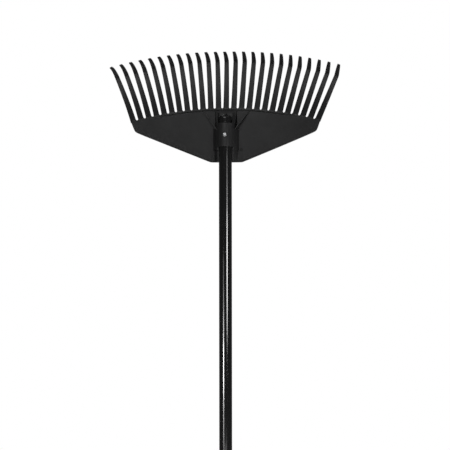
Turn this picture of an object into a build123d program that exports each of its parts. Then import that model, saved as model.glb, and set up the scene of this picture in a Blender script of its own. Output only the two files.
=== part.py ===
from build123d import *
from math import atan2, cos, degrees, radians, sin, sqrt
import os

# A leaf rake, in millimetres. The handle's axis is the Z axis, the origin is the centre of the
# hanging hole at the butt end, +Z runs up to the head, and the tine tips point along -Y.

# Handle tube
tube_diameter = 28.0
tube_wall = 0.8
tube_bottom_z = 20.0
tube_length = 1200.0
tube_top_z = tube_bottom_z + tube_length
tube_radius = tube_diameter / 2
tube_inner_radius = tube_radius - tube_wall

# Moulded head: the plate
slot_line_z = 1242.6            # bottoms of the middle slots
plate_front_y = 21.0            # front face of the plate on the centre line
plate_thickness = 4.0
dish_radius = 600.0             # the plate is curved forward at both sides, like a trough
plate_height = 118.1            # bottom edge to the slot line
bottom_half_width = 34.0
corner_half_width = 193.8
corner_drop = 53.1              # corner below the slot line
corner_rounding = 12.0
bottom_rounding = 14.0
side_slope = 0.387              # the sides run on into the outermost tines
side_rise = 22.0                # height of the sides above the corners
skirt_depth = 9.0               # stiffening skirt behind the lower edges
skirt_wall = 3.0
skirt_top_rise = 10.0           # the skirt ends this far above the corners
stock_below = 150.0             # the blank that the plate is cut from: its reach under the slot line
stock_size = 200.0              # its height, and its depth each way
stock_half_width = 260.0

# Moulded head: the tines
tine_count = 25
outermost = (tine_count - 1) // 2
root_pitch = 16.73
root_crowding = 0.012           # share by which the outermost roots stand closer in than even
bend_pitch = 19.9
slot_arc_radius = 682.0
bend_rise = 103.0               # middle bend above the slot line
bend_arc_radius = 817.0
slot_width = 4.3
root_width = 12.4
root_start_width = 9.0          # hidden inside the plate
bend_width = 9.8
tip_width = 6.2
root_thickness = 4.6
bend_thickness = 4.0
tip_thickness = 3.0
middle_setback = 15.0           # the bends lie behind the plate's front face in the middle
outer_setback = -3.0            # and before it at the outermost tine
tip_length = 57.0
first_tip_angle = 60.0          # the tip leaves the bend at this angle from the shaft
last_tip_angle = 91.0           # and curls to this one at its end
middle_tip_rise = 0.79          # the middle tips rise less above their bends than the outer ones
outer_tip_rise = 1.14
tip_rise_power = 1.2
tip_steps = 4
tip_spread = 0.5                # share of the fan's sideways lean that a tip keeps
shaft_stations = (0.02, 0.14, 0.32, 0.6, 0.96)
shaft_bow = 2.2                 # power of the curve by which a shaft leans back from the plate
root_overlap = 7.0              # each tine starts this far down inside the plate
root_sink = 0.3                 # and this far behind its front face
root_start_thickness = plate_thickness - 2 * root_sink
slot_cut_length = 30.0
slot_cut_depth = 80.0

# Moulded head: the socket
socket_radius = 17.6
socket_low_z = 1157.5
socket_high_z = 1208.5
bore_clearance = 0.15
bore_radius = tube_radius + bore_clearance
block_half_width = 28.0         # at the plate, from where both flanks slant in to the front
block_front_half_width = 18.2
block_front_y = 1.0
flank_foot_y = plate_front_y - 1.0
block_low_z = 1150.0
block_high_z = 1197.0
foot_half_width = 25.4
foot_front_half_width = 17.8
foot_front_y = 4.0
neck_half_width = 24.0
neck_front_half_width = 18.4
neck_top_z = slot_line_z - 5.0
stop_wall = 3.0
stop_front_y = 4.0
stop_gap = 7.0                  # the stop's rib starts this far above the tube's end
shroud_front_y = block_front_y - 5.0
shroud_back_y = 18.0
shroud_overlap = 6.0
shroud_top_drop = 6.0           # the shroud's walls end this far under the neck's top
shroud_cut = (80.0, 60.0)       # width and size of the wedge that slopes the shroud's top
shroud_cut_y = -4.0
shroud_tilt = 30.0
well_clearance = 1.2
well_back_wall = 5.0
well_top_drop = 8.0
well_reach = 40.0
bore_past_tube = 6.0
into_plate = 2.0                # how far the socket's parts run into the plate
rib_thickness = 3.0
rib_low = (14.0, 1188.0)
rib_high = (50.0, 1236.5)
rib_low_inset = 1.0
rib_high_proud = 3.0

# Socket screw
screw_z = 1183.0
screw_head_diameter = 9.0
screw_head_height = 2.6
screw_shank_diameter = 4.2
screw_length = 16.0
spot_face_depth = 0.7
recess_depth = 1.4
recess_width = 1.1
recess_span = 5.0
screw_head_rounding = 0.6       # share of the head's height
screw_point = 4.0
screw_point_radius = 0.3
screw_clearance = 0.1
spot_face_clearance = 0.3

# Plug in the head end of the tube, and cap on its butt end
plug_stem_length = 24.0
plug_flange = 1.5
plug_dome_height = 4.5
plug_wall = 1.8
plug_top_wall = 3.0
cap_radius = 15.6
cap_high_z = 60.0
cap_low_z = -17.0
cap_end_rounding = 9.0
cap_tab_thickness = 13.0
cap_tab_high_z = 12.0
cap_shoulder_z = 20.0
hanging_hole_radius = 4.5
cap_mouth_rounding = 1.0
cap_clearance = 0.05
cheek_past = 5.0                # how far the cheek cutters run past the cap

cut_past = 1.0                  # how far a cutting tool runs past the face that it cuts


def arc_drop(x, radius):
    """How far a circle of this radius has fallen away at x from its crown."""
    return radius - sqrt(radius**2 - x**2)


def plate_front(x):
    """The dished front face of the plate."""
    return plate_front_y - arc_drop(x, dish_radius)


def slot_line(x):
    """Height of the slot bottoms, an arc across the head."""
    return slot_line_z - arc_drop(x, slot_arc_radius)


def root_x_of(number):
    """X of a tine's root, or of a slot between two: nearly even, and closer towards the sides."""
    return root_pitch * number * (1 - root_crowding * (number / outermost)**4)


def prism(face_points, low_y, high_y):
    """A closed outline in the XZ plane, carried along Y from low_y to high_y."""
    outline = Polyline([Vector(x, low_y, z) for x, z in face_points], close=True)
    return extrude(make_face(outline), amount=high_y - low_y, dir=(0, 1, 0))


def box(low, high):
    """A box between two opposite corners."""
    size = [b - a for a, b in zip(low, high)]
    return Pos(*low) * Box(*size, align=(Align.MIN, Align.MIN, Align.MIN))


def rod(radius, low_z, high_z):
    """A cylinder on the handle's axis."""
    height = high_z - low_z
    return Pos(0, 0, low_z) * Cylinder(radius, height, align=(Align.CENTER, Align.CENTER, Align.MIN))


def cross_rod(radius, low_y, high_y, z):
    """A cylinder along Y through the handle's axis."""
    return Pos(0, (low_y + high_y) / 2, z) * Rot(90, 0, 0) * Cylinder(radius, high_y - low_y)


def plate_outline():
    """The plate seen from the front: flat foot, sloping lower edges, sides, and an arc on top."""
    bottom_z = slot_line_z - plate_height
    corner_z = slot_line_z - corner_drop
    crest = slot_width / 2
    top_x = corner_half_width + side_slope * side_rise
    top_z = corner_z + side_rise
    points = [(-bottom_half_width, bottom_z), (bottom_half_width, bottom_z),
              (corner_half_width, corner_z), (top_x, top_z)]
    lower = Polyline([(-x, z) for x, z in reversed(points[1:])] + points[1:])
    top = ThreePointArc((top_x, top_z), (0, slot_line_z + crest), (-top_x, top_z))
    face = make_face([lower, top])
    low_corners = [v for v in face.vertices() if v.Y < bottom_z + cut_past]
    face = fillet(low_corners, bottom_rounding)
    side_corners = [v for v in face.vertices() if abs(v.Y - corner_z) < cut_past]
    return fillet(side_corners, corner_rounding)


def trough(outline, depth):
    """A flat outline given the dish of the plate and this depth behind its front face."""
    tall = Plane.XZ * outline
    blank = extrude(tall, amount=stock_size, both=True)
    low_z = slot_line_z - stock_below
    dish_y = plate_front_y - dish_radius
    standing = (Align.CENTER, Align.CENTER, Align.MIN)
    outer = Pos(0, dish_y, low_z) * Cylinder(dish_radius + depth, stock_size, align=standing)
    inner = Pos(0, dish_y, low_z) * Cylinder(dish_radius, stock_size, align=standing)
    return (blank & outer) - inner


def plate():
    """The dished plate with the skirt behind its lower edges."""
    outline = plate_outline()
    web = trough(outline, plate_thickness)
    ring = outline - offset(outline, -skirt_wall)
    keep_low = box((-stock_half_width, -stock_size, slot_line_z - stock_below),
                   (stock_half_width, stock_size, slot_line_z - corner_drop + skirt_top_rise))
    return web + (trough(ring, skirt_depth) & keep_low)


def tine_stations(number):
    """Stations along a tine, from inside the plate to the tip.

    Each is the middle of the front face, the tine's angle forward from its shaft, the slope of the
    dish there, the width and the thickness.
    """
    root_x = root_x_of(number)
    bend_x = bend_pitch * number
    root_z = slot_line(root_x)
    bend_z = slot_line_z + bend_rise - arc_drop(bend_x, bend_arc_radius)
    lean = atan2(bend_x - root_x, bend_z - root_z)
    share = (number / outermost) ** 2
    setback = middle_setback + (outer_setback - middle_setback) * share
    root_y = plate_front(root_x)
    bend_y = plate_front_y + setback
    root_slope = -root_x / dish_radius
    bend_slope = 2 * (outer_setback - middle_setback) * bend_x / (bend_pitch * outermost) ** 2

    start = (root_x - root_overlap * sin(lean), root_y + root_sink, root_z - root_overlap * cos(lean))
    stations = [(start, 0, root_slope, root_start_width, root_start_thickness)]
    for along in shaft_stations:
        ease = 1 - (1 - along) ** shaft_bow
        place = (root_x + (bend_x - root_x) * along,
                 root_y + (bend_y - root_y) * ease + root_sink * (1 - along),
                 root_z + (bend_z - root_z) * along)
        slope = root_slope + (bend_slope - root_slope) * along
        width = root_width + (bend_width - root_width) * along
        thickness = root_thickness + (bend_thickness - root_thickness) * along
        stations.append((place, 0, slope, width, thickness))

    first_angle = radians(first_tip_angle)
    arc = radians(last_tip_angle) - first_angle
    outward = (abs(number) / outermost) ** tip_rise_power
    rise_share = middle_tip_rise + (outer_tip_rise - middle_tip_rise) * outward
    for step in range(tip_steps + 1):
        along = step / tip_steps
        angle = first_angle + arc * along
        forward = tip_length / arc * (cos(first_angle) - cos(angle))
        rise = tip_length / arc * (sin(angle) - sin(first_angle)) * rise_share
        turn = angle / 2 if step == 0 else angle
        place = (bend_x + rise * sin(lean) * tip_spread, bend_y - forward, bend_z + rise * cos(lean))
        width = bend_width + (tip_width - bend_width) * along
        thickness = bend_thickness + (tip_thickness - bend_thickness) * along
        stations.append((place, turn, bend_slope * (1 - along), width, thickness))
    return stations, lean


def tine(number):
    """One tine: a ruled loft through its stations."""
    stations, lean = tine_stations(number)
    sections = []
    for place, angle, slope, width, thickness in stations:
        middle = Vector(*place)
        across = Vector(cos(lean), slope * cos(lean), -sin(lean)).normalized() * (width / 2)
        behind = Vector(sin(lean) * sin(angle), cos(angle), cos(lean) * sin(angle)) * thickness
        corners = [middle - across, middle + across, middle + across + behind, middle - across + behind]
        sections.append(make_face(Polyline(corners, close=True)))
    return loft(sections, ruled=True)


def slot(number):
    """The space between two neighbouring tines, with a round bottom."""
    middle = number + 0.5
    low_x, high_x = root_x_of(middle), bend_pitch * middle
    low_z = slot_line(low_x)
    high_z = slot_line_z + bend_rise - arc_drop(high_x, bend_arc_radius)
    lean = degrees(atan2(high_x - low_x, high_z - low_z))
    half_way = slot_width / 2 + slot_cut_length / 2
    shape = Pos(low_x, low_z) * Rot(0, 0, -lean) * Pos(0, half_way) * SlotCenterToCenter(
        slot_cut_length, slot_width, rotation=90)
    return extrude(Plane.XZ * shape, amount=slot_cut_depth, both=True)


def flanked_outline(half_width, front_half_width, front_y, z):
    """A level cut through the socket: wide at the plate, with flanks that slant in to the front."""
    back_y = plate_front_y + into_plate
    right = [(half_width, back_y), (half_width, flank_foot_y), (front_half_width, front_y)]
    points = [Vector(-x, y, z) for x, y in right] + [Vector(x, y, z) for x, y in reversed(right)]
    return make_face(Polyline(points, close=True))


def flanked(half_width, front_half_width, front_y, low_z, high_z):
    """An upright block with slanted flanks."""
    return extrude(flanked_outline(half_width, front_half_width, front_y, low_z), amount=high_z - low_z,
                   dir=(0, 0, 1))


def rib(side):
    """A brace from the side of the socket up and out to the plate's upper edge."""
    low = Vector(side * rib_low[0], 0, rib_low[1])
    high = Vector(side * rib_high[0], 0, rib_high[1])
    front_low = low + Vector(0, block_front_y + rib_low_inset, 0)
    front_high = high + Vector(0, plate_front(rib_high[0]) - rib_high_proud, 0)
    back_high = high + Vector(0, plate_front_y, 0)
    back_low = low + Vector(0, plate_front_y + into_plate, 0)
    corners = [front_low, front_high, back_high, back_low]
    face = make_face(Polyline(corners, close=True))
    return extrude(face, amount=rib_thickness / 2, both=True)


def socket():
    """The block on the plate's centre line, with the round sleeve that the tube goes through."""
    block = flanked(block_half_width, block_front_half_width, block_front_y, block_low_z, block_high_z)
    foot = flanked(foot_half_width, foot_front_half_width, foot_front_y,
                   slot_line_z - plate_height + cut_past, block_low_z)
    neck_foot = flanked_outline(neck_half_width, neck_front_half_width, foot_front_y, block_high_z)
    neck_top = flanked_outline(neck_half_width, neck_half_width - cut_past, plate_front_y - into_plate,
                               neck_top_z)
    neck = loft([neck_foot, neck_top], ruled=True)
    shroud = box((-socket_radius, shroud_front_y, socket_high_z - shroud_overlap),
                 (socket_radius, shroud_back_y, neck_top_z - shroud_top_drop))
    half_cut, cut_size = shroud_cut[0] / 2, shroud_cut[1]
    wedge = prism([(-half_cut, 0), (half_cut, 0), (half_cut, cut_size), (-half_cut, cut_size)], -cut_size, 0)
    shroud = shroud - Pos(0, shroud_cut_y, socket_high_z) * Rot(-shroud_tilt, 0, 0) * wedge
    sleeve = rod(socket_radius, socket_low_z, socket_high_z)
    body = block + foot + neck + shroud + sleeve
    well_half = tube_radius + well_clearance
    well = box((-well_half, -well_reach, socket_high_z),
               (well_half, plate_front_y - well_back_wall, neck_top_z - well_top_drop))
    stop = box((-stop_wall / 2, stop_front_y, tube_top_z + stop_gap),
               (stop_wall / 2, plate_front_y, neck_top_z - shroud_top_drop))
    return body - well + stop


def rake_head():
    """The whole one-piece moulding."""
    numbers = range(-outermost, outermost + 1)
    head = plate() + [tine(n) for n in numbers]
    head = head - [slot(n) for n in numbers[:-1]]
    head = head + socket() + rib(-1) + rib(1)
    bore = rod(bore_radius, slot_line_z - plate_height - cut_past, tube_top_z + plug_flange + bore_past_tube)
    hole = cross_rod(screw_shank_diameter / 2 + screw_clearance, -socket_radius - cut_past, 0, screw_z)
    spot = cross_rod(screw_head_diameter / 2 + spot_face_clearance, -socket_radius - cut_past,
                     -socket_radius + spot_face_depth, screw_z)
    return head - bore - hole - spot


def handle_tube():
    """The painted steel tube, with the pilot hole for the socket screw."""
    wall = rod(tube_radius, tube_bottom_z, tube_top_z) - rod(
        tube_inner_radius, tube_bottom_z - cut_past, tube_top_z + cut_past)
    pilot = cross_rod(screw_shank_diameter / 2, -tube_radius - cut_past, 0, screw_z)
    return wall - pilot


def socket_screw():
    """A pan-head self-tapping screw, driven in from the front of the sleeve."""
    seat_y = -socket_radius + spot_face_depth
    head = cross_rod(screw_head_diameter / 2, seat_y - screw_head_height, seat_y, screw_z)
    rim = head.edges().filter_by(GeomType.CIRCLE).sort_by(Axis.Y)[0]
    head = fillet(rim, screw_head_height * screw_head_rounding)
    end_y = seat_y + screw_length
    shank = cross_rod(screw_shank_diameter / 2, seat_y, end_y - screw_point, screw_z)
    tip = Pos(0, end_y - screw_point / 2, screw_z) * Rot(-90, 0, 0) * Cone(
        screw_shank_diameter / 2, screw_point_radius, screw_point)
    top_y = seat_y - screw_head_height
    recess = box((-recess_span / 2, top_y - cut_past, screw_z - recess_width / 2),
                 (recess_span / 2, top_y + recess_depth, screw_z + recess_width / 2))
    recess += box((-recess_width / 2, top_y - cut_past, screw_z - recess_span / 2),
                  (recess_width / 2, top_y + recess_depth, screw_z + recess_span / 2))
    return head + shank + tip - recess


def tube_plug():
    """The plastic plug that closes the head end of the tube, with a low domed top."""
    stem_radius = tube_inner_radius
    stem = rod(stem_radius, tube_top_z - plug_stem_length, tube_top_z)
    stem -= rod(stem_radius - plug_wall, tube_top_z - plug_stem_length - cut_past, tube_top_z - plug_top_wall)
    flange = rod(tube_radius, tube_top_z, tube_top_z + plug_flange)
    dome_radius = (tube_radius**2 + plug_dome_height**2) / (2 * plug_dome_height)
    ball = Pos(0, 0, tube_top_z + plug_flange + plug_dome_height - dome_radius) * Sphere(dome_radius)
    dome = ball & rod(tube_radius, tube_top_z + plug_flange, tube_top_z + plug_flange + plug_dome_height)
    return stem + flange + dome


def hanging_cap():
    """The plastic cap on the butt end: a sleeve over the tube and a flat tab with a hole."""
    blank = rod(cap_radius, cap_low_z, cap_high_z)
    end = blank.edges().filter_by(GeomType.CIRCLE).sort_by(Axis.Z)
    blank = fillet(end[0], cap_end_rounding)
    mouth = blank.edges().filter_by(GeomType.CIRCLE).sort_by(Axis.Z)[-1]
    blank = fillet(mouth, cap_mouth_rounding)
    half = cap_tab_thickness / 2
    low_z = cap_low_z - cheek_past
    for side in (-1, 1):
        outer_y = side * (cap_radius + cut_past)
        cheek = Polyline([Vector(0, side * half, low_z), Vector(0, side * half, cap_tab_high_z),
                          Vector(0, outer_y, cap_shoulder_z), Vector(0, outer_y, low_z)], close=True)
        blank -= extrude(make_face(cheek), amount=cap_radius + cheek_past, both=True)
    seat = rod(tube_radius + cap_clearance, tube_bottom_z, cap_high_z + cut_past)
    hole = cross_rod(hanging_hole_radius, -cap_radius, cap_radius, 0)
    return blank - seat - hole


os.makedirs("parts", exist_ok=True)
for make in (rake_head, handle_tube, socket_screw, tube_plug, hanging_cap):
    export_step(make(), f"parts/{make.__name__}.step")
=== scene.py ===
from math import asin, cos, pi, radians, sin, tan

import bmesh
import bpy
import numpy as np
from mathutils import Matrix, Vector


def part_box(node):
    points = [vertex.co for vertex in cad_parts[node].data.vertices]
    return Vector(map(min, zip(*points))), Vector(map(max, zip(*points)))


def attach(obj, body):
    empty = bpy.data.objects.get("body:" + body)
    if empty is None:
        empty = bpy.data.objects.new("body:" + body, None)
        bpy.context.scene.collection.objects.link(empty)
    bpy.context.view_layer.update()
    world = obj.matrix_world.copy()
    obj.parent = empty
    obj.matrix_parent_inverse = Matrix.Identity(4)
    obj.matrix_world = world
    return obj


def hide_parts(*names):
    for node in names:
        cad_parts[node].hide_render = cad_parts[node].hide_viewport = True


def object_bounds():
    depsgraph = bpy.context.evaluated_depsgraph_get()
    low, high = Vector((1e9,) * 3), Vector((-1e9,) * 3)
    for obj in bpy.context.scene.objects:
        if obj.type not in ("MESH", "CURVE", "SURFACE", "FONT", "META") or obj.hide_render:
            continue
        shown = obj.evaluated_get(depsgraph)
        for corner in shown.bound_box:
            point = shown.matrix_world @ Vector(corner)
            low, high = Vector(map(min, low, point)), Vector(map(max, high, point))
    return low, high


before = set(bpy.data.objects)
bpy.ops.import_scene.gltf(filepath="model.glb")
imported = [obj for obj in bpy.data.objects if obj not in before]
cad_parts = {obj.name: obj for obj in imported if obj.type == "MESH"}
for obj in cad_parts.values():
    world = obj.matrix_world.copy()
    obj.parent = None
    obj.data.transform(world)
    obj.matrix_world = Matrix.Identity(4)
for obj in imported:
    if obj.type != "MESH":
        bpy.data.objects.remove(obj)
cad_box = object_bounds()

# ---- Camera ------------------------------------------------------------------------------------
# It stands a little to the right of the rake, and barely above the spot that it looks at, which is
# on the upper half of the handle. Everything here and below is in metres, apart from the camera's
# sensor and lens, in millimetres.
camera_turn = radians(4.8)
camera_height = radians(1.24)
camera_roll = radians(-0.07)
camera_distance = 2.2
picture_width = 0.981
sensor_width = 36.0
aim = Vector((-0.0022, 0.0151, 0.9879))

toward_camera = Vector((sin(camera_turn) * cos(camera_height), -cos(camera_turn) * cos(camera_height),
                        sin(camera_height)))
level_right = Vector((cos(camera_turn), sin(camera_turn), 0))
level_up = toward_camera.cross(level_right)
right = level_right * cos(camera_roll) + level_up * sin(camera_roll)
up = level_up * cos(camera_roll) - level_right * sin(camera_roll)
camera_data = bpy.data.cameras.new("camera")
camera_data.sensor_width = sensor_width
camera_data.lens = camera_distance / picture_width * sensor_width
camera = bpy.data.objects.new("camera", camera_data)
bpy.context.scene.collection.objects.link(camera)
place = Matrix((right, up, toward_camera)).transposed().to_4x4()
place.translation = aim + toward_camera * camera_distance
camera.matrix_world = place
bpy.context.scene.camera = camera
bpy.context.scene.view_settings.view_transform = "Standard"

# ---- Shared helpers ----------------------------------------------------------------------------
# Node trees, materials, and the ways that every mesh below is made: grids of points, lathe shapes
# and rounded edges.
merge_distance = 1e-6
crisp_from = 32
rounding_steps = 3


def add_node(tree, kind, inputs=None, **settings):
    """A node of this kind. Each input takes a value, or is linked from another node's socket."""
    node = tree.nodes.new(kind)
    for key, value in settings.items():
        setattr(node, key, value)
    for key, value in (inputs or {}).items():
        if isinstance(value, bpy.types.NodeSocket):
            tree.links.new(value, node.inputs[key])
        else:
            node.inputs[key].default_value = value
    return node


def add_mix(tree, share, first, second):
    """A colour that goes from the first to the second as the share goes from 0 to 1."""
    mix = add_node(tree, "ShaderNodeMix", {0: share, 6: first, 7: second}, data_type="RGBA")
    return mix.outputs[2]


def add_bump(tree, shader, strength, distance, height):
    """Raises the shader's surface by this height socket."""
    bump = add_node(tree, "ShaderNodeBump",
                    {"Strength": strength, "Distance": distance, "Height": height})
    tree.links.new(bump.outputs[0], shader.inputs["Normal"])


def add_range(tree, socket, low, high, start=0.0, end=1.0):
    """The socket's range from start to end, stretched to go from low to high and held beyond."""
    stretched = add_node(tree, "ShaderNodeMapRange", {0: socket, 1: start, 2: end, 3: low, 4: high})
    return stretched.outputs[0]


def new_material(name):
    """A material, its node tree and its main shader."""
    material = bpy.data.materials.new(name)
    material.use_nodes = True
    return material, material.node_tree, material.node_tree.nodes["Principled BSDF"]


def add_piece(name, grids, material, ring=False, open_loop=False, sharp=35):
    """One mesh made of closed shells, each a grid of points (rows, columns, 3).

    Quads join neighbouring rows and columns. The columns run round and meet, unless open_loop says
    that they run from pole to pole. The rows meet too with ring, and end in a flat face without it.
    Edges that turn by more than sharp degrees stay crisp in the shading.
    """
    points, faces, start = [], [], 0
    for grid in grids:
        rows, columns = grid.shape[:2]
        index = start + np.arange(rows * columns).reshape(rows, columns)
        here = index if ring else index[:-1]
        there = np.roll(index, -1, axis=0) if ring else index[1:]
        corners = [here, np.roll(here, -1, axis=1), np.roll(there, -1, axis=1), there]
        quads = np.stack(corners, axis=-1)
        if open_loop:
            quads = quads[:, :-1]
        faces += quads.reshape(-1, 4).tolist()
        if not ring:
            faces += [index[0, ::-1].tolist(), index[-1].tolist()]
        points.append(grid.reshape(-1, 3))
        start += rows * columns
    mesh = bpy.data.meshes.new(name)
    mesh.from_pydata(np.concatenate(points).tolist(), [], faces)
    shape = bmesh.new()
    shape.from_mesh(mesh)
    bmesh.ops.remove_doubles(shape, verts=shape.verts, dist=merge_distance)
    bmesh.ops.dissolve_degenerate(shape, edges=shape.edges, dist=merge_distance)
    bmesh.ops.recalc_face_normals(shape, faces=shape.faces)
    shape.to_mesh(mesh)
    shape.free()
    mesh.shade_smooth()
    mesh.set_sharp_from_angle(angle=radians(sharp))
    mesh.materials.append(material)
    piece = bpy.data.objects.new(name, mesh)
    bpy.context.scene.collection.objects.link(piece)
    return piece


def turned(profile, sides):
    """A lathe shape: each (radius, z) of the profile is carried round the part's upright axis."""
    turn = np.linspace(0, 2 * pi, sides, endpoint=False)[:, None]
    radius, height = profile[:, 0], profile[:, 1]
    level = np.broadcast_to(height, (sides, len(profile)))
    return np.stack([radius * np.cos(turn), radius * np.sin(turn), level], axis=-1)


def quarter(start, end, steps):
    """Angles in radians from start to end, in degrees, for a rounded edge."""
    return np.radians(np.linspace(start, end, steps))


def round_edges(piece, width):
    """Rounds every crisp edge of a piece by this width."""
    rounding = piece.modifiers.new("rounded_edges", "BEVEL")
    rounding.width = width
    rounding.segments = rounding_steps
    rounding.limit_method = "ANGLE"
    rounding.angle_limit = radians(crisp_from)
    rounding.harden_normals = True


# ---- Studio ------------------------------------------------------------------------------------
# White paper all round, which gloss sees as dark flags. Two tall strips with grids draw the tube's
# highlights. Fills from the front, the right and behind light the head, and a low panel lights the
# bends of the tines. The floor glows a little, so that it shows nearly as white as the paper.
paper_white = 1.0
paper_fill = 0.10
flag_dark = 0.05
strip_grid = radians(50)
strip_distance = 1.5
right_spans = [(0.48, 1.22, 0.075), (0.52, 1.12, 0.07), (0.54, 1.02, 0.17), (0.58, 0.985, 0.25),
               (0.64, 0.90, 0.22), (0.70, 0.86, 0.215)]
left_spans = [(0.06, 0.84, 0.023), (0.12, 0.72, 0.033), (0.18, 0.64, 0.089), (0.22, 0.60, 0.111),
              (0.28, 0.56, 0.344), (0.34, 0.53, 0.40)]
floor_reach = 1.75
floor_thickness = 0.02
floor_sides = 96
floor_glow = 0.55
floor_dark = (0.76, 0.76, 0.76, 1)
floor_light = (0.82, 0.82, 0.82, 1)

world = bpy.data.worlds.new("paper_sweep")
world.use_nodes = True
bpy.context.scene.world = world
tree = world.node_tree
tree.nodes.clear()
path = add_node(tree, "ShaderNodeLightPath")
lit = add_node(tree, "ShaderNodeMix", {0: path.outputs["Is Glossy Ray"], 2: paper_fill, 3: flag_dark})
seen = add_node(tree, "ShaderNodeMix",
                {0: path.outputs["Is Camera Ray"], 2: lit.outputs[0], 3: paper_white})
paper = add_node(tree, "ShaderNodeBackground", {"Color": (1, 1, 1, 1), "Strength": seen.outputs[0]})
add_node(tree, "ShaderNodeOutputWorld", {"Surface": paper.outputs[0]})


def soft_panel(name, place, target, width, height, radiance):
    """A rectangular light of this size and brightness, turned towards the target."""
    light = bpy.data.lights.new(name, "AREA")
    light.shape = "RECTANGLE"
    light.size = width
    light.size_y = height
    light.energy = radiance * pi * width * height
    panel = bpy.data.objects.new(name, light)
    panel.location = place
    panel.rotation_euler = (Vector(place) - Vector(target)).to_track_quat("Z", "Y").to_euler()
    panel.visible_camera = False
    bpy.context.scene.collection.objects.link(panel)
    return panel


def strip(name, turn, width, radiance, target_z, spans):
    """An upright strip light at this turn round the handle, for gloss only.

    A grid in front of it keeps its light near the line to the target. It is softened towards its
    ends: panels of several spans (low, high, share of the radiance) lie over each other.
    """
    for number, (low_z, high_z, share) in enumerate(spans):
        place = (strip_distance * sin(turn), -strip_distance * cos(turn), (low_z + high_z) / 2)
        panel = soft_panel(f"{name}_{number}", place=place, target=(0, 0, target_z), width=width,
                           height=high_z - low_z, radiance=radiance * share)
        panel.data.spread = strip_grid
        panel.visible_diffuse = False


strip("right_strip", turn=radians(34), width=0.34, radiance=1.8, target_z=0.60, spans=right_spans)
strip("left_strip", turn=radians(-31), width=0.32, radiance=4.5, target_z=0.35, spans=left_spans)
soft_panel("front_fill", place=(-0.3, -2.3, 2.0), target=(0, 0, 1.2), width=1.8, height=0.8,
           radiance=3.2)
side_fill = soft_panel("side_fill", place=(2.2, -0.2, 1.3), target=(0, 0, 1.2), width=1.0, height=1.0,
                       radiance=7.0)
side_fill.visible_glossy = False
soft_panel("back_fill", place=(-1.0, 2.2, 2.4), target=(0, 0, 1.1), width=1.6, height=1.0,
           radiance=8.0)
soft_panel("low_panel", place=(0.0, -1.15, 0.12), target=(0, 0, 1.3), width=1.2, height=0.25,
           radiance=0.9)

floor_paper, tree, shader = new_material("floor_paper")
where = add_node(tree, "ShaderNodeTexCoord")
fibre = add_node(tree, "ShaderNodeTexNoise",
                 {"Vector": where.outputs["Object"], "Scale": 3.0, "Detail": 6.0})
tree.links.new(add_mix(tree, fibre.outputs["Fac"], floor_dark, floor_light), shader.inputs["Base Color"])
shader.inputs["Roughness"].default_value = 0.9
path = add_node(tree, "ShaderNodeLightPath")
glow = add_node(tree, "ShaderNodeMath", {0: path.outputs["Is Camera Ray"], 1: floor_glow},
                operation="MULTIPLY")
tree.links.new(glow.outputs[0], shader.inputs["Emission Strength"])
shader.inputs["Emission Color"].default_value = (1, 1, 1, 1)
floor_z = cad_box[0][2]
floor_foot_z = floor_z - floor_thickness
floor_rim = np.array([(0, floor_z), (floor_reach, floor_z), (floor_reach, floor_foot_z),
                      (0, floor_foot_z)])
floor = add_piece("studio_floor", [turned(floor_rim, floor_sides)], floor_paper, ring=True,
                  open_loop=True)

# ---- Head: the moulded plate -------------------------------------------------------------------
# One injection moulding in satin black plastic carries the whole head. Its plate is dished forward
# at both sides, rounded along its lower edges, where a skirt stiffens it, and scalloped between the
# tines along the top.
tube_top_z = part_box("handle_tube")[1][2]
slot_line_rise = 0.0226
slot_line_z = tube_top_z + slot_line_rise
plate_front_y = 0.021
plate_thickness = 0.004
dish_radius = 0.600
plate_height = 0.1181
bottom_half_width = 0.034
corner_half_width = 0.1943
corner_drop = 0.0531
side_slope = 0.387
side_end_x = 0.2023
bottom_softness = 0.0010
corner_softness = 0.0052
slot_arc_radius = 0.682
tine_count = 25
outermost = (tine_count - 1) // 2
root_pitch = 0.01673
root_crowding = 0.012
root_width = 0.0124
slot_radius = 0.00215
lower_edge_radius = 0.0032
upper_edge_radius = 0.0009
skirt_depth = 0.009
skirt_wall = 0.003
skirt_lip = 0.0008
tine_cut_reach = 0.36
side_cut_start = 0.007
shortest_cut = 0.0012
full_size_cut = 0.028
least_size = 0.04
seam_drop = 0.0042
seam_depth = 0.0024
seam_half_width = 0.0011
seam_reach = 0.150
seam_fade = 0.05
seam_lowest = 0.6
groove_floor = (-0.25, 0.45)
front_rows = (0.015, 0.12, 0.3, 0.5, 0.7, 0.88, 0.985, 1.0)
back_rows = (0.8, 0.5, 0.2)

numbers = np.arange(tine_count) - outermost


def arc_drop(x, radius):
    """How far a circle of this radius has fallen away at x from its crown."""
    return radius - np.sqrt(radius**2 - x**2)


def root_middle(number):
    """X of a tine's root, or of a slot between two: nearly even, and closer towards the sides."""
    return root_pitch * number * (1 - root_crowding * (number / outermost)**4)


def slot_line(x):
    """Height of the slot bottoms, an arc across the head."""
    return slot_line_z - arc_drop(x, slot_arc_radius)


def plate_front(x):
    """The dished front face of the plate, a part of an upright cylinder."""
    return plate_front_y - arc_drop(x, dish_radius)


def soft_max(a, b, softness):
    """The larger of two heights, with the corner between them rounded off."""
    return (a + b + np.sqrt((a - b)**2 + softness**2)) / 2


def plate_rim(x):
    """Height of the plate's lower edge: a flat foot, a long slope, and the steep side."""
    reach = np.abs(x)
    rise = (plate_height - corner_drop) / (corner_half_width - bottom_half_width)
    foot = np.full_like(reach, -plate_height)
    slope = -plate_height + (reach - bottom_half_width) * rise
    side = -corner_drop + (reach - corner_half_width) / side_slope
    return slot_line_z + soft_max(soft_max(foot, slope, bottom_softness), side, corner_softness)


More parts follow.
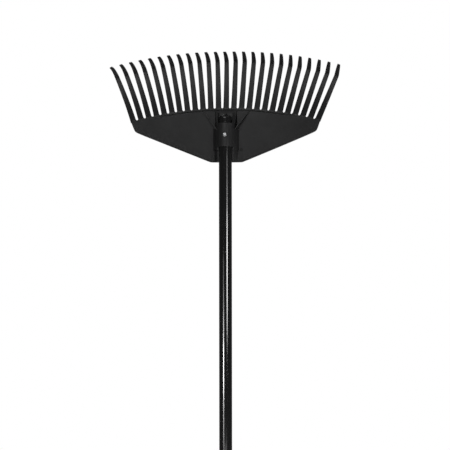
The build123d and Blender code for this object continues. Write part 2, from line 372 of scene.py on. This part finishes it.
def plate_crest(x):
    """Height of the plate's upper edge: half circles at the slots, and level under the tines."""
    slot_middles = root_middle(numbers[:-1] + 0.5)
    off = np.abs(x[:, None] - slot_middles).min(axis=1)
    return slot_line(x) + slot_radius - np.sqrt(np.clip(slot_radius**2 - off**2, 0, None))


def plate_grid():
    """Upright cuts through the plate, side by side.

    Each cut is a list of rows, as (height, depth behind the front). It runs up the front face from
    the rounded lower edge to the slot line, over the upper edge, down the back, and round the
    skirt. A fine groove crosses the front just under the slots. Near the sides the cut is short,
    and all its edges shrink with it.
    """
    swing = np.sin(quarter(-90, 90, 11)) * slot_radius
    at_slots = root_middle(numbers[:-1] + 0.5)[:, None] + swing
    at_tines = root_middle(numbers)[:, None] + root_width * np.linspace(-tine_cut_reach, tine_cut_reach, 7)
    near_side = np.linspace(corner_half_width - side_cut_start, side_end_x, 26)
    x = np.unique(np.concatenate([at_slots.ravel(), at_tines.ravel(), near_side, -near_side]))
    x = x[np.abs(x) <= side_end_x]
    low, high, front = plate_rim(x), plate_crest(x), plate_front(x)
    high = np.maximum(high, low + shortest_cut)
    size = np.clip((high - low) / full_size_cut, least_size, 1)
    seam = np.maximum(slot_line(x) - seam_drop, low + (high - low) * seam_lowest)
    fade = np.clip((seam_reach - np.abs(x)) / seam_fade, 0, 1) * size

    edge = lower_edge_radius * size
    brow = upper_edge_radius * size
    rows = []
    for angle in quarter(-90, 0, 6):
        rows.append((low + edge * (1 + sin(angle)), edge * (1 - cos(angle))))
    seam_low = seam - seam_half_width * size
    for share in front_rows:
        rows.append((low + edge + (seam_low - low - edge) * share, 0 * x))
    for share in groove_floor:
        rows.append((seam + seam_half_width * share * size, seam_depth * fade))
    rows.append((seam + seam_half_width * size, 0 * x))
    for angle in quarter(0, 90, 4):
        rows.append((high - brow * (1 - sin(angle)), brow * (1 - cos(angle))))
    for angle in quarter(90, 0, 4):
        rows.append((high - brow * (1 - sin(angle)), plate_thickness - brow * (1 - cos(angle))))
    wall = skirt_wall * size
    deep = plate_thickness + (skirt_depth - plate_thickness) * size
    lip = skirt_lip * size
    back_low, back_high = low + wall + lip, high - brow
    for share in back_rows:
        rows.append((back_low + (back_high - back_low) * share, plate_thickness + 0 * x))
    rows.append((back_low, plate_thickness + 0 * x))
    rows.append((low + wall, plate_thickness + lip))
    rows.append((low + wall, deep - lip))
    rows.append((low + wall - lip, deep))
    rows.append((low + lip, deep))
    rows.append((low, deep - lip))
    height = np.stack([row[0] for row in rows], axis=1)
    depth = np.stack([row[1] for row in rows], axis=1)
    lean = np.arcsin(np.clip(x / dish_radius, -1, 1))[:, None]
    return np.stack([x[:, None] + depth * np.sin(lean), front[:, None] + depth * np.cos(lean), height],
                    axis=-1)


def grain_group():
    """Fine moulded grain, with soft patches where the mould's polish differs, as a node group."""
    group = bpy.data.node_groups.new("moulded_grain", "ShaderNodeTree")
    group.interface.new_socket("Grain Scale", in_out="INPUT", socket_type="NodeSocketFloat")
    group.interface.new_socket("Height", in_out="OUTPUT", socket_type="NodeSocketFloat")
    group.interface.new_socket("Patches", in_out="OUTPUT", socket_type="NodeSocketFloat")
    group.interface.new_socket("Scuffs", in_out="OUTPUT", socket_type="NodeSocketFloat")
    given = add_node(group, "NodeGroupInput")
    where = add_node(group, "ShaderNodeTexCoord")
    fine = add_node(group, "ShaderNodeTexNoise", {"Vector": where.outputs["Object"],
                                                  "Scale": given.outputs["Grain Scale"],
                                                  "Detail": 3.0, "Roughness": 0.6})
    pebble = add_node(group, "ShaderNodeTexVoronoi", {"Vector": where.outputs["Object"],
                                                      "Scale": given.outputs["Grain Scale"]},
                      feature="SMOOTH_F1")
    height = add_node(group, "ShaderNodeMath", {0: fine.outputs["Fac"], 1: pebble.outputs["Distance"]},
                      operation="ADD")
    broad = add_node(group, "ShaderNodeTexNoise", {"Vector": where.outputs["Object"], "Scale": 22.0,
                                                   "Detail": 5.0, "Roughness": 0.62, "Distortion": 0.4})
    patches = add_range(group, broad.outputs["Fac"], 0, 1, start=0.3, end=0.7)
    along = add_node(group, "ShaderNodeMapping", {"Vector": where.outputs["Object"],
                                                  "Scale": (420, 420, 60), "Rotation": (0.0, 0.5, 0.0)})
    rubbed = add_node(group, "ShaderNodeTexNoise",
                      {"Vector": along.outputs[0], "Scale": 1.0, "Detail": 4.0})
    scuffs = add_range(group, rubbed.outputs["Fac"], 0, 1, start=0.62, end=0.78)
    add_node(group, "NodeGroupOutput",
             {"Height": height.outputs[0], "Patches": patches, "Scuffs": scuffs})
    return group


moulded_grain = grain_group()
plastic_dark = (0.024, 0.024, 0.0245, 1)
plastic_light = (0.031, 0.031, 0.0315, 1)
plastic_scuff = (0.050, 0.050, 0.051, 1)
scuff_share = 0.25
gate_dark = (0.006, 0.006, 0.0062, 1)
gate_mark = Vector((0.033, 0.021, 1.152))
gate_radius = 0.0042
gate_edge = 0.8

head_plastic, tree, shader = new_material("head_plastic")
grain = add_node(tree, "ShaderNodeGroup", node_tree=moulded_grain)
grain.inputs["Grain Scale"].default_value = 1400.0
where = add_node(tree, "ShaderNodeTexCoord")
off_gate = add_node(tree, "ShaderNodeVectorMath", {0: where.outputs["Object"], 1: gate_mark},
                    operation="DISTANCE")
gate = add_range(tree, off_gate.outputs["Value"], 0, 1, start=gate_radius, end=gate_radius * gate_edge)
tone = add_mix(tree, grain.outputs["Patches"], plastic_dark, plastic_light)
rubbed = add_node(tree, "ShaderNodeMath", {0: grain.outputs["Scuffs"], 1: scuff_share},
                  operation="MULTIPLY")
worn = add_mix(tree, rubbed.outputs[0], tone, plastic_scuff)
tree.links.new(add_mix(tree, gate, worn, gate_dark), shader.inputs["Base Color"])
tree.links.new(add_range(tree, grain.outputs["Patches"], 0.50, 0.42), shader.inputs["Roughness"])
add_bump(tree, shader, strength=0.25, distance=0.0002, height=grain.outputs["Height"])
shader.inputs["Specular IOR Level"].default_value = 0.35

plate = add_piece("head_plate", [plate_grid()], head_plastic, sharp=50)
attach(plate, "root")
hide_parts("rake_head")

# ---- Head: the tines ---------------------------------------------------------------------------
# Twenty-five flat tines of the same moulding fan out from the plate's upper edge. Each leans back a
# little, then bends forward into a hooked tip that narrows to a blunt, rounded end.
bend_pitch = 0.0199
bend_rise = 0.1030
bend_arc_radius = 0.817
bend_width = 0.0098
tip_width = 0.0062
root_thickness = 0.0046
bend_thickness = 0.0040
tip_thickness = 0.0029
middle_setback = 0.015
outer_setback = -0.003
shaft_bow = 2.2
tip_length = 0.057
first_tip_angle = radians(60)
last_tip_angle = radians(91)
middle_tip_rise = 0.79
outer_tip_rise = 1.14
tip_rise_power = 1.2
tip_spread = 0.5
bend_start = 0.98
bend_end = 0.035
root_rows = (-0.014, -0.009, -0.003)
root_sunk_at = 0.009
root_sink = 0.0003
root_proud = 0.00012
tine_edge_radius = 0.0009
edge_limit = 2.2
tip_end_radius = 0.0012


def tine_lines():
    """Front middle lines of all tines, with their widths, thicknesses and sideways directions.

    The shaft is a straight fan line that bows back by a power of its length, and its root runs on
    down the plate's front and sinks into it. The tip is an arc in the tine's own plane, and the
    corner between them is a short quadratic curve.
    """
    n = numbers[:, None].astype(float)
    root_x, bend_x = root_middle(n), bend_pitch * n
    root_z = slot_line(root_x)
    bend_z = slot_line_z + bend_rise - arc_drop(bend_x, bend_arc_radius)
    lean = np.arctan2(bend_x - root_x, bend_z - root_z)
    setback = middle_setback + (outer_setback - middle_setback) * (n / outermost)**2
    root_y, bend_y = plate_front(root_x), plate_front_y + setback

    along = np.concatenate([root_rows, np.linspace(0.01, bend_start, 17)])[None]
    ease = 1 - (1 - np.clip(along, 0, 1))**shaft_bow
    sunk = np.clip(-along / root_sunk_at, 0, 1)
    shaft = np.stack([root_x + (bend_x - root_x) * along,
                      root_y + (bend_y - root_y) * ease - root_proud + (root_sink + root_proud) * sunk,
                      root_z + (bend_z - root_z) * along], axis=-1)

    share = np.linspace(bend_end, 1 - tip_end_radius / tip_length, 13)[None]
    angle = first_tip_angle + (last_tip_angle - first_tip_angle) * share
    unit = tip_length / (last_tip_angle - first_tip_angle)
    forward = unit * (np.cos(first_tip_angle) - np.cos(angle))
    sideness = (np.abs(n) / outermost)**tip_rise_power
    rise_share = middle_tip_rise + (outer_tip_rise - middle_tip_rise) * sideness
    rise = unit * (np.sin(angle) - np.sin(first_tip_angle)) * rise_share
    tip = np.stack([bend_x + rise * np.sin(lean) * tip_spread, bend_y - forward + 0 * rise,
                    bend_z + rise * np.cos(lean)], axis=-1)

    corner = np.stack([bend_x, bend_y, bend_z], axis=-1)
    t = np.linspace(0, 1, 9)[1:-1][None, :, None]
    curve = (1 - t)**2 * shaft[:, -1:] + 2 * t * (1 - t) * corner + t**2 * tip[:, :1]
    line = np.concatenate([shaft, curve, tip], axis=1)

    bends = curve.shape[1]
    on_shaft = np.concatenate([along[0], np.ones(bends + share.size)])
    on_tip = np.concatenate([np.zeros(along.size + bends), share[0]])
    on_tip[along.size:along.size + bends] = share[0, 0] * t[0, :, 0]
    width = root_width + (bend_width - root_width) * on_shaft + (tip_width - bend_width) * on_tip
    thickness = root_thickness + (bend_thickness - root_thickness) * on_shaft
    thickness = thickness + (tip_thickness - bend_thickness) * on_tip
    root_slope = -root_x / dish_radius
    bend_slope = 2 * (outer_setback - middle_setback) * bend_x / (bend_pitch * outermost)**2
    slope = (root_slope + (bend_slope - root_slope) * np.clip(on_shaft, 0, 1)) * (1 - on_tip)
    level, fall = np.cos(lean) + 0 * slope, np.sin(lean) + 0 * slope
    across = np.stack([level, slope * level, -fall], axis=-1)
    return line, width, thickness, across


def unit_vectors(vectors):
    """The same directions, one long."""
    return vectors / np.linalg.norm(vectors, axis=-1, keepdims=True)


def rounded_section(width, thickness, radius, steps):
    """A rectangle with rounded corners, as points round its middle for each width and thickness."""
    turns = [quarter(start, start + 90, steps) for start in (0, 90, 180, 270)]
    signs = [(1, 1), (-1, 1), (-1, -1), (1, -1)]
    wide = [s[0] * (width[:, None] / 2 - radius) + radius * np.cos(a) for s, a in zip(signs, turns)]
    thick = [s[1] * (thickness[:, None] / 2 - radius) + radius * np.sin(a) for s, a in zip(signs, turns)]
    return np.concatenate(wide, axis=1), np.concatenate(thick, axis=1)


def tine_grids():
    """A rounded rectangle carried along each tine, with the end of the tip drawn in to a dome."""
    line, width, thickness, across = tine_lines()
    run = unit_vectors(np.gradient(line, axis=1))
    behind = unit_vectors(np.cross(run, across))
    across = unit_vectors(np.cross(behind, run))
    dome = quarter(18, 80, 4)
    on = tip_end_radius * np.sin(dome)[None, :, None]
    line = np.concatenate([line, line[:, -1:] + run[:, -1:] * on], axis=1)
    behind = np.concatenate([behind, np.repeat(behind[:, -1:], dome.size, axis=1)], axis=1)
    across = np.concatenate([across, np.repeat(across[:, -1:], dome.size, axis=1)], axis=1)
    drawn_in = tip_end_radius * (1 - np.cos(dome)) * 2
    inset = np.concatenate([np.zeros(width.size), drawn_in])
    deep = np.concatenate([thickness, np.full(dome.size, thickness[-1])])
    width = np.concatenate([width, np.full(dome.size, width[-1])])
    radius = np.minimum(tine_edge_radius, (deep - inset) / edge_limit)[:, None]
    wide, thick = rounded_section(width - inset, deep - inset, radius, 4)
    middle = line + behind * (deep / 2)[None, :, None]
    sideways = across[:, :, None] * wide[None, :, :, None]
    return middle[:, :, None] + sideways + behind[:, :, None] * thick[None, :, :, None]


tines = add_piece("head_tines", list(tine_grids()), head_plastic, sharp=50)
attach(tines, "root")
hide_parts("rake_head")

# ---- Head: the socket --------------------------------------------------------------------------
# A block on the plate's centre line holds a round sleeve for the tube. Below it is a narrower foot,
# and above it a neck that slopes back to the plate, with a well that shows the end of the tube.
bore_radius = 0.01415
sleeve_radius = 0.0176
sleeve_low_z = tube_top_z - 0.0625
sleeve_high_z = tube_top_z - 0.0115
block_low_z = tube_top_z - 0.070
block_high_z = tube_top_z - 0.023
neck_high_z = slot_line_z - 0.005
foot_low_z = slot_line_z - plate_height + 0.001
block_half, block_nose, block_front = 0.028, 0.0182, 0.001
foot_half, foot_nose, foot_front = 0.0254, 0.0178, 0.004
neck_half, neck_nose = 0.024, 0.0184
flank_foot = plate_front_y - 0.001
neck_top_front = plate_front_y - 0.002
well_half, well_back = 0.0152, 0.016
lip_front = -0.004
lip_tilt = radians(30)
lip_high_z = slot_line_z - 0.011
into_plate = plate_front_y + 0.002
stop_half = 0.0015
stop_low_z = tube_top_z + 0.007
overlap = 0.001
sleeve_lip = 0.0009
sleeve_sides = 96
near_lip = 3
socket_rounding = 0.0008


def saddle_ring(z, half, nose, front):
    """A cut through the block: slanted flanks, and a round trough in front where the tube lies."""
    start = asin(front / bore_radius)
    turn = np.linspace(pi - start, start, 25)
    left = [(-half, into_plate), (-half, flank_foot), (-nose, front)]
    trough = np.column_stack([bore_radius * np.cos(turn), bore_radius * np.sin(turn)])
    outline = np.concatenate([left, trough, [(-x, y) for x, y in reversed(left)]])
    return np.column_stack([outline, np.full(len(outline), z)])


def well_ring(z, front, nose, lip):
    """A cut through the neck: slanted flanks, a square well, and a raised lip on each side of it."""
    back = max(well_back, front)
    left = [(-neck_half, into_plate), (-neck_half, flank_foot), (-nose, front), (-sleeve_radius, front),
            (-sleeve_radius, lip), (-well_half, lip), (-well_half, back)]
    outline = np.array(left + [(-x, y) for x, y in reversed(left)])
    return np.column_stack([outline, np.full(len(outline), z)])


def neck_front(z):
    """Front of the neck, sloping straight back from the block to the plate."""
    share = (z - block_high_z) / (neck_high_z - block_high_z)
    return foot_front + (neck_top_front - foot_front) * share


def neck_width(z):
    """Half the width of the neck's front, which spreads as its flanks run out."""
    share = (z - block_high_z) / (neck_high_z - block_high_z)
    return neck_nose + (neck_half - overlap - neck_nose) * share


def bar(low, high):
    """A plain bar between two opposite corners, as two rings."""
    x = [low[0], high[0], high[0], low[0]]
    y = [low[1], low[1], high[1], high[1]]
    return np.array([np.column_stack([x, y, [z] * 4]) for z in (low[2], high[2])])


def socket_grids():
    """The foot, the block, the neck below and beside the well, and the rib that stops the tube."""
    foot = np.array([saddle_ring(z, foot_half, foot_nose, foot_front)
                     for z in (foot_low_z, block_low_z + overlap)])
    block = np.array([saddle_ring(z, block_half, block_nose, block_front)
                      for z in (block_low_z, block_high_z)])
    collar = np.array([saddle_ring(z, neck_half, neck_width(z), neck_front(z))
                       for z in np.linspace(block_high_z - overlap / 2, sleeve_high_z, 4)])
    neck = []
    for z in np.linspace(sleeve_high_z, lip_high_z, 6):
        lip = min(lip_front + (z - sleeve_high_z) * tan(lip_tilt), neck_front(z))
        neck.append(well_ring(z, neck_front(z), neck_width(z), lip))
    for z in (lip_high_z, neck_high_z):
        neck.append(well_ring(z, neck_front(z), neck_width(z), neck_front(z)))
    stop = bar((-stop_half, foot_front, stop_low_z), (stop_half, into_plate, lip_high_z))
    return [foot, block, collar, np.array(neck), stop]


socket = add_piece("head_socket", socket_grids(), head_plastic, sharp=crisp_from)
round_edges(socket, socket_rounding)
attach(socket, "root")
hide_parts("rake_head")


def sleeve_profile(inner, outer, low, high, lip):
    """A tube wall with rounded lips, as (radius, z) round its section.

    Two more points on each wall, close to the lips, keep the shading of the long walls straight.
    """
    near_high, near_low = high - lip * near_lip, low + lip * near_lip
    parts = []
    for middle_r, middle_z, start in ((outer - lip, high - lip, 0), (inner + lip, high - lip, 90),
                                      (inner + lip, low + lip, 180), (outer - lip, low + lip, 270)):
        turn = quarter(start, start + 90, 5)
        parts.append(np.column_stack([middle_r + lip * np.cos(turn), middle_z + lip * np.sin(turn)]))
        if start == 90:
            parts.append([(inner, near_high), (inner, near_low)])
    parts.append([(outer, near_low), (outer, near_high)])
    return np.concatenate(parts)


sleeve_wall = sleeve_profile(bore_radius, sleeve_radius, sleeve_low_z, sleeve_high_z, sleeve_lip)
sleeve = add_piece("head_sleeve", [turned(sleeve_wall, sleeve_sides)], head_plastic, ring=True, sharp=60)
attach(sleeve, "root")
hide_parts("rake_head")

# ---- Head: the two braces ----------------------------------------------------------------------
# Thin webs of the same moulding run from the sides of the socket up and out to the plate's upper
# edge. Together they make a V, and they stiffen the joint of socket and plate.
brace_half = 0.0012
brace_rounding = 0.0003
brace_low = (0.014, slot_line_z - 0.055)
brace_high = (0.050, slot_line_z - 0.0065)
brace_low_front = block_front + 0.001
brace_high_front = float(plate_front(np.array(brace_high[0]))) - 0.003


def brace_grid(side):
    """A thin plate on edge: a four-cornered outline across the V, given its thickness."""
    low = np.array([side * brace_low[0], 0, brace_low[1]])
    high = np.array([side * brace_high[0], 0, brace_high[1]])
    run = (high - low) / np.linalg.norm(high - low)
    off = np.array([run[2], 0, -run[0]]) * brace_half
    outline = np.array([low + (0, brace_low_front, 0), high + (0, brace_high_front, 0),
                        high + (0, plate_front_y, 0), low + (0, into_plate, 0)])
    return np.array([outline - off, outline + off])


braces = add_piece("head_braces", [brace_grid(-1), brace_grid(1)], head_plastic, sharp=crisp_from)
round_edges(braces, brace_rounding)
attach(braces, "root")
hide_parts("rake_head")

# ---- Handle tube -------------------------------------------------------------------------------
# A straight steel tube with a hard gloss black enamel. The enamel has the faint ripple of baked
# paint and fine rubbed lines along its length.
tube_low_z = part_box("handle_tube")[0][2]
tube_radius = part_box("handle_tube")[1][0]
tube_wall = 0.0008
tube_lip = 0.0003
tube_sides = 128
enamel_dark = (0.0055, 0.0055, 0.0058, 1)
enamel_light = (0.0085, 0.0085, 0.0088, 1)

handle_paint, tree, shader = new_material("handle_paint")
where = add_node(tree, "ShaderNodeTexCoord")
ripple = add_node(tree, "ShaderNodeTexNoise", {"Vector": where.outputs["Object"], "Scale": 160.0,
                                               "Detail": 2.0})
drawn = add_node(tree, "ShaderNodeMapping", {"Vector": where.outputs["Object"], "Scale": (900, 900, 14)})
lines = add_node(tree, "ShaderNodeTexNoise", {"Vector": drawn.outputs[0], "Scale": 1.0, "Detail": 3.0})
cloudy = add_node(tree, "ShaderNodeTexNoise", {"Vector": where.outputs["Object"], "Scale": 9.0,
                                               "Detail": 4.0})
tone = add_mix(tree, cloudy.outputs["Fac"], enamel_dark, enamel_light)
tree.links.new(tone, shader.inputs["Base Color"])
polish = add_range(tree, lines.outputs["Fac"], 0.12, 0.15, start=0.35, end=0.75)
tree.links.new(polish, shader.inputs["Roughness"])
add_bump(tree, shader, strength=0.008, distance=0.0001, height=ripple.outputs["Fac"])
shader.inputs["Specular IOR Level"].default_value = 0.8
shader.inputs["Coat Weight"].default_value = 1.0
shader.inputs["Coat Roughness"].default_value = 0.08

wall_profile = sleeve_profile(tube_radius - tube_wall, tube_radius, tube_low_z, tube_top_z, tube_lip)
tube = add_piece("handle_tube_enamel", [turned(wall_profile, tube_sides)], handle_paint, ring=True,
                 sharp=60)
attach(tube, "root")
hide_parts("handle_tube")

# ---- Tube plug ---------------------------------------------------------------------------------
# A moulded plug in smooth black plastic, pressed into the head end of the tube. Its low dome shows
# in the well above the sleeve.
plug_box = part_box("tube_plug")
plug_flange = 0.0015
plug_wall = 0.0018
plug_roof = 0.003
plug_rim = 0.0002
plug_sides = 96
plug_dark = (0.010, 0.010, 0.0104, 1)
plug_light = (0.016, 0.016, 0.0164, 1)

plug_plastic, tree, shader = new_material("plug_plastic")
grain = add_node(tree, "ShaderNodeGroup", node_tree=moulded_grain)
grain.inputs["Grain Scale"].default_value = 2200.0
tone = add_mix(tree, grain.outputs["Patches"], plug_dark, plug_light)
tree.links.new(tone, shader.inputs["Base Color"])
tree.links.new(add_range(tree, grain.outputs["Scuffs"], 0.40, 0.50), shader.inputs["Roughness"])
add_bump(tree, shader, strength=0.12, distance=0.0001, height=grain.outputs["Height"])


def plug_profile():
    """From the hollow's roof down its wall, up the stem, round the flange, and over the dome."""
    stem = tube_radius - tube_wall
    hollow, roof_z = stem - plug_wall, tube_top_z - plug_roof
    low, top = plug_box[0][2], plug_box[1][2]
    rim_z = tube_top_z + plug_flange
    rise = top - rim_z
    dome_radius = (tube_radius**2 + rise**2) / (2 * rise)
    radius = tube_radius * np.cos(quarter(0, 90, 14))
    dome = np.column_stack([radius, top - dome_radius + np.sqrt(dome_radius**2 - radius**2)])
    wall = [(0, roof_z), (hollow, roof_z), (hollow, low), (stem, low), (stem, tube_top_z),
            (tube_radius - plug_rim, tube_top_z), (tube_radius, tube_top_z + plug_rim)]
    return np.concatenate([wall, dome])


plug = add_piece("tube_plug_domed", [turned(plug_profile(), plug_sides)], plug_plastic, ring=True,
                 open_loop=True)
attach(plug, "root")
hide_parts("tube_plug")

# ---- Socket screw ------------------------------------------------------------------------------
# A zinc-plated pan-head screw with a cross recess, driven through the sleeve into the tube. It is
# the only fastener on the rake.
screw_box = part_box("socket_screw")
screw_z = (screw_box[0][2] + screw_box[1][2]) / 2
screw_top_y, screw_end_y = screw_box[0][1], screw_box[1][1]
screw_radius = screw_box[1][0]
screw_head_height = 0.0026
shank_radius = 0.0021
point_length = 0.004
point_radius = 0.0003
recess_depth = 0.0014
recess_half = 0.00055
recess_reach = 0.0025
recess_wall = 0.00012
recess_run = 0.0006
pan_power = 3.2
shank_overlap = 0.0004
thread_pitch = 0.0018
thread_height = 0.0003
zinc_dark = (0.70, 0.71, 0.73, 1)
zinc_light = (0.84, 0.85, 0.86, 1)

screw_zinc, tree, shader = new_material("screw_zinc")
where = add_node(tree, "ShaderNodeTexCoord")
plating = add_node(tree, "ShaderNodeTexNoise", {"Vector": where.outputs["Object"], "Scale": 900.0,
                                                "Detail": 4.0})
tone = add_mix(tree, plating.outputs["Fac"], zinc_dark, zinc_light)
tree.links.new(tone, shader.inputs["Base Color"])
tree.links.new(add_range(tree, plating.outputs["Fac"], 0.26, 0.42), shader.inputs["Roughness"])
add_bump(tree, shader, strength=0.15, distance=0.0001, height=plating.outputs["Fac"])
shader.inputs["Metallic"].default_value = 1.0


def screw_head_grid():
    """A pan head as a height over (radius, turn): a flattened dome less a tapered cross recess."""
    radius = screw_radius * np.sin(np.linspace(0, pi / 2, 40))[:, None]
    turn = np.linspace(0, 2 * pi, 96, endpoint=False)[None]
    x, z = radius * np.cos(turn), radius * np.sin(turn)
    pan = screw_head_height * (1 - (radius / screw_radius)**pan_power)**(1 / pan_power)
    arm = np.minimum(np.abs(x), np.abs(z))
    reach = np.maximum(np.abs(x), np.abs(z))
    inside = np.clip((recess_half - arm) / recess_wall + 0.5, 0, 1)
    inside = inside * np.clip((recess_reach - reach) / recess_run, 0, 1)
    top = screw_top_y + screw_head_height - pan + recess_depth * inside
    return np.stack([x, top + 0 * x, screw_z + z], axis=-1)


def screw_shank_grid():
    """The shank: a circle whose radius swells with the thread's helix, then a point."""
    seat_y = screw_top_y + screw_head_height
    y = np.linspace(seat_y - shank_overlap, screw_end_y, 90)[:, None]
    turn = np.linspace(0, 2 * pi, 32, endpoint=False)[None]
    taper = np.clip((screw_end_y - y) / point_length, 0, 1)
    wave = 0.5 + 0.5 * np.cos(2 * pi * y / thread_pitch - turn)
    core = point_radius + (shank_radius - thread_height - point_radius) * taper
    radius = core + thread_height * wave**3 * taper
    return np.stack([radius * np.cos(turn), y + 0 * turn, screw_z + radius * np.sin(turn)], axis=-1)


screw = add_piece("socket_screw_plated", [screw_head_grid(), screw_shank_grid()], screw_zinc, sharp=45)
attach(screw, "root")
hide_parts("socket_screw")

# ---- Hanging cap -------------------------------------------------------------------------------
# A satin black plastic cap pushed over the butt end of the tube. Below the tube it flattens into a
# tab with a round hole, which hangs on a nail or a hook.
cap_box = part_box("hanging_cap")
cap_radius = cap_box[1][0]
cap_low_z, cap_high_z = cap_box[0][2], cap_box[1][2]
cap_lip = 0.001
seat_play = 0.00005
seat_radius = tube_radius + seat_play
seat_step = 0.0002
tab_half = 0.0065
tab_overlap = 0.004
tab_high_z = 0.012
cap_shoulder_z = 0.020
cap_end_rounding = 0.009
hole_radius = 0.0045
cap_body_rounding = 0.0006
cap_tab_rounding = 0.0008
cap_sides = 96
tab_sides = 120
nearly_zero = 1e-6
cap_dark = (0.017, 0.017, 0.0174, 1)
cap_light = (0.024, 0.024, 0.0244, 1)
cap_scuff = (0.036, 0.036, 0.037, 1)

cap_plastic, tree, shader = new_material("cap_plastic")
grain = add_node(tree, "ShaderNodeGroup", node_tree=moulded_grain)
grain.inputs["Grain Scale"].default_value = 1700.0
tone = add_mix(tree, grain.outputs["Patches"], cap_dark, cap_light)
tree.links.new(add_mix(tree, grain.outputs["Scuffs"], tone, cap_scuff), shader.inputs["Base Color"])
tree.links.new(add_range(tree, grain.outputs["Scuffs"], 0.42, 0.55), shader.inputs["Roughness"])
add_bump(tree, shader, strength=0.25, distance=0.0002, height=grain.outputs["Height"])


def cap_body_grid():
    """A circle carried up the cap, cut off flat at the cheeks, then over the lip and down inside."""
    turn = np.linspace(0, 2 * pi, cap_sides, endpoint=False)[None]
    lip_turn = quarter(0, 180, 9)
    wall = (cap_radius - seat_radius) / 2
    lip_r = (cap_radius + seat_radius) / 2 + wall * np.cos(lip_turn)
    lip_z = cap_high_z - cap_lip + cap_lip * np.sin(lip_turn)
    rise = np.concatenate([[tab_high_z - tab_overlap], np.linspace(tab_high_z, cap_shoulder_z, 9)])
    z = np.concatenate([rise, lip_z, [cap_shoulder_z + seat_step]])[:, None]
    radius = np.concatenate([np.full(rise.size, cap_radius), lip_r, [seat_radius]])[:, None]
    swell = np.clip((z - tab_high_z) / (cap_shoulder_z - tab_high_z), 0, 1)
    cheek = tab_half + (cap_radius - tab_half) * swell
    y = np.clip(radius * np.sin(turn), -cheek, cheek)
    return np.stack([radius * np.cos(turn) + 0 * z, y, z + 0 * turn], axis=-1)


def tab_outline(turn):
    """Distance from the hole's middle to the tab's rounded outline, in each direction."""
    dx, dz = np.cos(turn), np.sin(turn)
    sideways = cap_radius / np.maximum(np.abs(dx), nearly_zero)
    upright = np.where(dz > 0, tab_high_z, -cap_low_z) / np.maximum(np.abs(dz), nearly_zero)
    straight = np.minimum(sideways, upright)
    middle_x, middle_z = cap_radius - cap_end_rounding, cap_low_z + cap_end_rounding
    toward = np.abs(dx) * middle_x + dz * middle_z
    gap = middle_x**2 + middle_z**2 - cap_end_rounding**2
    rounded = toward + np.sqrt(np.maximum(toward**2 - gap, 0))
    in_corner = (np.abs(dx) * straight > middle_x) & (dz * straight < middle_z)
    return np.where(in_corner, rounded, straight)


def tab_grid():
    """The tab: a rectangle section carried round the hole, reaching out to the tab's outline."""
    turn = np.linspace(0, 2 * pi, tab_sides, endpoint=False)
    outer = tab_outline(turn)[:, None]
    inner = np.full_like(outer, hole_radius)
    radius = np.concatenate([inner, outer, outer, inner], axis=1)
    y = np.broadcast_to(np.array([-tab_half, -tab_half, tab_half, tab_half]), radius.shape)
    return np.stack([radius * np.cos(turn)[:, None], y, radius * np.sin(turn)[:, None]], axis=-1)


cap_body = add_piece("hanging_cap_body", [cap_body_grid()], cap_plastic, sharp=crisp_from)
round_edges(cap_body, cap_body_rounding)
cap_tab = add_piece("hanging_cap_tab", [tab_grid()], cap_plastic, ring=True, sharp=40)
round_edges(cap_tab, cap_tab_rounding)
for piece in (cap_body, cap_tab):
    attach(piece, "root")
    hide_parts("hanging_cap")
